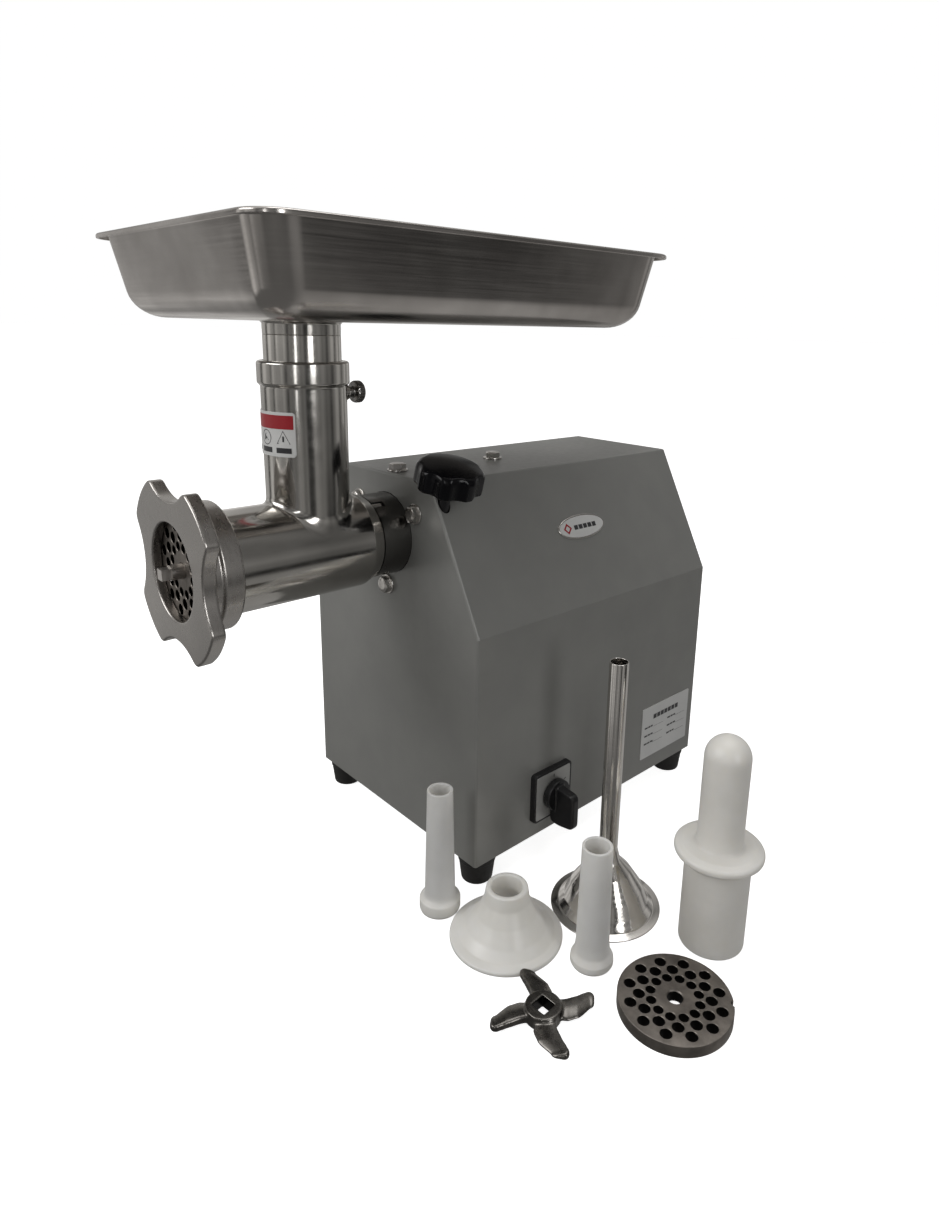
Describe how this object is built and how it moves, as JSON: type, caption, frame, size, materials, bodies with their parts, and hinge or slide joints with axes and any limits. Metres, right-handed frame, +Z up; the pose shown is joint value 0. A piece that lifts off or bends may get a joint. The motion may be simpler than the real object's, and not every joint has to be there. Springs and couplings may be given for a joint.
{
  "type": "electric meat grinder",
  "caption": "Counter-top electric meat grinder: sheet-metal gearmotor housing, cast head with auger, knife and plate, feed tray, and its loose filling and pushing accessories.",
  "frame": {"origin": "middle of the four feet, on the counter", "axes": "+X towards the switch side, -Y out of the grinding head's mouth, +Z up"},
  "size_m": [0.4117, 0.441, 0.4494],
  "materials": {
    "painted_housing": "silver-grey satin sheet",
    "stainless": "brushed stainless steel",
    "polished_casting": "polished cast stainless steel",
    "plate_steel": "ground tool steel",
    "gear_steel": "machined steel",
    "zinc_steel": "zinc-plated steel",
    "cast_aluminium": "sand-cast aluminium",
    "black_plastic": "black moulded plastic",
    "gloss_black": "glossy black phenolic",
    "white_plastic": "white food-safe polyethylene",
    "black_rubber": "black rubber",
    "copper_winding": "enamelled copper",
    "bronze": "sintered bronze",
    "printed_label": "printed film",
    "seal_rubber": "nitrile rubber"
  },
  "bodies": {
    "machine": {"housing_shell": "painted_housing", "base_plate": "zinc_steel", "rubber_feet": "black_rubber", "foot_screws": "zinc_steel", "front_bolts": "stainless", "top_bolts": "stainless", "bolt_washers": "stainless", "cable_gland": "black_plastic", "gearbox_case": "cast_aluminium", "gearbox_cover": "cast_aluminium", "gearbox_screws": "zinc_steel", "output_bearings": "gear_steel", "idler_bearings": "gear_steel", "motor_bearings": "gear_steel", "oil_seal": "seal_rubber", "motor_frame": "cast_aluminium", "stator_core": "gear_steel", "stator_coils": "copper_winding", "motor_rear_bell": "cast_aluminium", "motor_tie_bolts": "zinc_steel", "motor_hanger": "zinc_steel", "capacitor": "cast_aluminium", "capacitor_clip": "zinc_steel", "switch_body": "black_plastic", "switch_frame": "black_plastic", "switch_face": "zinc_steel", "rating_plate": "printed_label", "side_badge": "printed_label"},
    "rotor": {"motor_shaft": "gear_steel", "rotor_core": "gear_steel", "cooling_fan": "black_plastic"},
    "idler": {"idler_shaft": "gear_steel", "idler_gear": "gear_steel"},
    "output": {"output_shaft": "gear_steel", "output_gear": "gear_steel"},
    "clamp_screw": {"clamp_stud": "zinc_steel"},
    "clamp_pad": {"clamp_shoe": "bronze"},
    "knob": {"clamp_knob": "gloss_black"},
    "head": {"head_casting": "polished_casting", "locating_pin": "stainless", "plate_key": "stainless", "auger_bush": "white_plastic", "neck_label": "printed_label"},
    "auger_set": {"auger": "polished_casting", "auger_pin": "stainless", "knife": "plate_steel"},
    "plate": {"grinding_plate": "plate_steel"},
    "ring": {"ring_nut": "stainless"},
    "thumb": {"thumb_screw": "stainless"},
    "tray": {"tray_pan": "stainless", "tray_chute": "stainless"},
    "selector": {"switch_knob": "black_plastic"},
    "pusher": {"meat_pusher": "white_plastic"},
    "funnel": {"sausage_funnel": "stainless"},
    "cone": {"cone_adapter": "white_plastic"},
    "tube_slim": {"slim_tube": "white_plastic"},
    "tube_flared": {"flared_tube": "white_plastic"},
    "loose_knife": {"spare_knife": "plate_steel"},
    "loose_plate": {"spare_plate": "plate_steel"}
  },
  "joints": [
    {"name": "motor_spin", "type": "hinge", "parent": "machine", "child": "rotor", "pos_m": [0, 0, 0.1545], "axis": [0, 1, 0], "continuous": true},
    {"name": "idler_spin", "type": "hinge", "parent": "machine", "child": "idler", "pos_m": [0, -0.09, 0.201], "axis": [0, 1, 0], "continuous": true},
    {"name": "output_spin", "type": "hinge", "parent": "machine", "child": "output", "pos_m": [0, -0.09, 0.249], "axis": [0, 1, 0], "continuous": true},
    {"name": "auger_spin", "type": "hinge", "parent": "head", "child": "auger_set", "pos_m": [0, -0.2, 0.249], "axis": [0, 1, 0], "continuous": true},
    {"name": "knob_turn", "type": "hinge", "parent": "clamp_screw", "child": "knob", "pos_m": [0.06259, -0.1258, 0.29304], "axis": [0.284, 0, 0.9588], "range_deg": [0, 1080]},
    {"name": "clamp_travel", "type": "slide", "parent": "machine", "child": "clamp_screw", "axis": [0.284, 0, 0.9588], "range_m": [0, 0.0046]},
    {"name": "shoe_travel", "type": "slide", "parent": "machine", "child": "clamp_pad", "axis": [0.9588, 0, -0.284], "range_m": [0, 0.00051]},
    {"name": "head_slide", "type": "slide", "parent": "machine", "child": "head", "axis": [0, -1, 0], "range_m": [0, 0.06]},
    {"name": "ring_turn", "type": "hinge", "parent": "plate", "child": "ring", "pos_m": [0, -0.289, 0.249], "axis": [0, -1, 0], "range_deg": [0, 2160]},
    {"name": "plate_slide", "type": "slide", "parent": "head", "child": "plate", "axis": [0, -1, 0], "range_m": [0, 0.0181]},
    {"name": "tray_lift", "type": "slide", "parent": "head", "child": "tray", "axis": [0, 0, 1], "range_m": [0, 0.07]},
    {"name": "thumb_turn", "type": "hinge", "parent": "head", "child": "thumb", "pos_m": [0, -0.165, 0.352], "axis": [0, 1, 0], "range_deg": [0, 720]},
    {"name": "switch_turn", "type": "hinge", "parent": "machine", "child": "selector", "pos_m": [0.1025, -0.05775, 0.0536], "axis": [-1, 0, 0], "range_deg": [0, 60]},
    {"name": "pusher_lift", "type": "slide", "parent": "machine", "child": "pusher", "axis": [0, 0, 1], "range_m": [0, 0.2]},
    {"name": "funnel_lift", "type": "slide", "parent": "machine", "child": "funnel", "axis": [0, 0, 1], "range_m": [0, 0.2]},
    {"name": "cone_lift", "type": "slide", "parent": "machine", "child": "cone", "axis": [0, 0, 1], "range_m": [0, 0.1]},
    {"name": "slim_tube_lift", "type": "slide", "parent": "machine", "child": "tube_slim", "axis": [0, 0, 1], "range_m": [0, 0.12]},
    {"name": "flared_tube_lift", "type": "slide", "parent": "machine", "child": "tube_flared", "axis": [0, 0, 1], "range_m": [0, 0.12]},
    {"name": "spare_knife_lift", "type": "slide", "parent": "machine", "child": "loose_knife", "axis": [0, 0, 1], "range_m": [0, 0.1]},
    {"name": "spare_plate_lift", "type": "slide", "parent": "machine", "child": "loose_plate", "axis": [0, 0, 1], "range_m": [0, 0.1]}
  ],
  "couplings": [
    {"joint": "idler_spin", "follows": "motor_spin", "ratio": -0.29167},
    {"joint": "output_spin", "follows": "motor_spin", "ratio": 0.1201},
    {"joint": "auger_spin", "follows": "motor_spin", "ratio": 0.1201},
    {"joint": "clamp_travel", "follows": "knob_turn", "m_per_rad": 0.00023873},
    {"joint": "shoe_travel", "follows": "knob_turn", "m_per_rad": 0.000026526},
    {"joint": "plate_slide", "follows": "ring_turn", "m_per_rad": 0.00047746}
  ]
}
